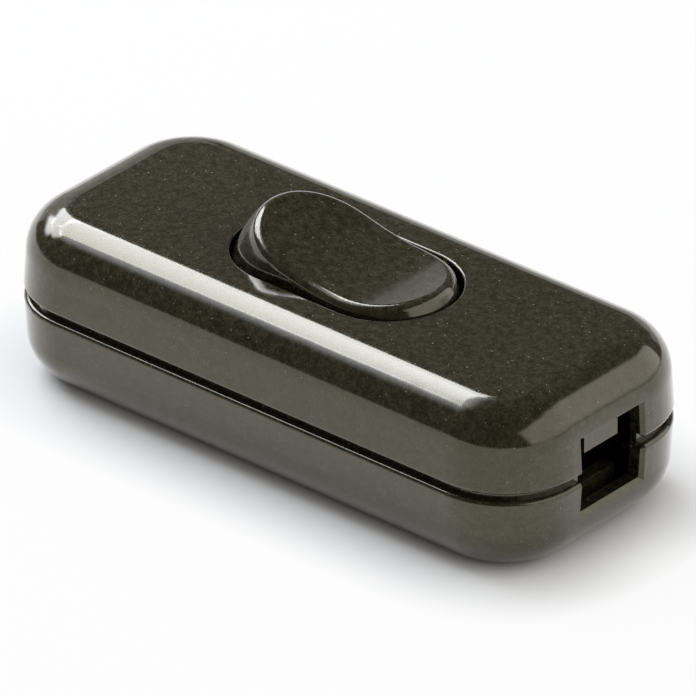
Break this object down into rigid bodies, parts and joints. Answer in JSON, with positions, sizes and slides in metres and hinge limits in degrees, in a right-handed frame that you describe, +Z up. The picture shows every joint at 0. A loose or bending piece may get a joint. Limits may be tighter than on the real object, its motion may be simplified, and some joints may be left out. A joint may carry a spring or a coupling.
{
  "type": "inline cord switch",
  "caption": "Inline switch for a lamp cord: rounded black housing split along its middle, dished rocker on top, rectangular cord entry in each end, see-saw contact and screw terminals inside.",
  "frame": {"origin": "middle of the underside", "axes": "+X along the cord towards the end that the rocker is pressed at, +Y across the switch, +Z up through the rocker"},
  "size_m": [0.06, 0.026, 0.0197],
  "materials": {
    "housing_plastic": "polished black moulding",
    "rocker_plastic": "polished black moulding",
    "plunger_nylon": "natural nylon",
    "spring_steel": "drawn spring wire",
    "contact_brass": "stamped sheet",
    "terminal_brass": "extruded and sawn",
    "contact_silver": "silver contact alloy",
    "screw_steel": "zinc plated"
  },
  "bodies": {
    "housing": {"cover_shell": "housing_plastic", "base_shell": "housing_plastic", "fixed_contact": "contact_silver", "fulcrum_strip": "contact_brass", "contact_strip": "contact_brass", "line_in_pillar": "terminal_brass", "line_out_pillar": "terminal_brass", "neutral_barrel": "terminal_brass", "earth_barrel": "terminal_brass", "terminal_screws": "screw_steel", "housing_screws": "screw_steel"},
    "rocker": {"rocker": "rocker_plastic", "plunger_spring": "spring_steel"},
    "plunger": {"plunger": "plunger_nylon"},
    "see_saw": {"see_saw_blade": "contact_brass", "moving_contact": "contact_silver"}
  },
  "joints": [
    {"name": "rocker_tilt", "type": "hinge", "parent": "housing", "child": "rocker", "pos_m": [0, 0, 0.0115], "axis": [0, 1, 0], "range_deg": [-17.4, 0]},
    {"name": "plunger_slide", "type": "slide", "parent": "rocker", "child": "plunger", "axis": [0.1513, 0, 0.9885], "range_m": [0, 0.0006], "stiffness_N_per_m": 800, "springref_m": -0.0015, "deforming": ["plunger_spring"]},
    {"name": "see_saw_rock", "type": "hinge", "parent": "housing", "child": "see_saw", "pos_m": [0, 0, 0.0038], "axis": [0, 1, 0], "range_deg": [0, 17.4]}
  ],
  "couplings": [
    {"joint": "see_saw_rock", "follows": "rocker_tilt", "ratio": -1}
  ]
}
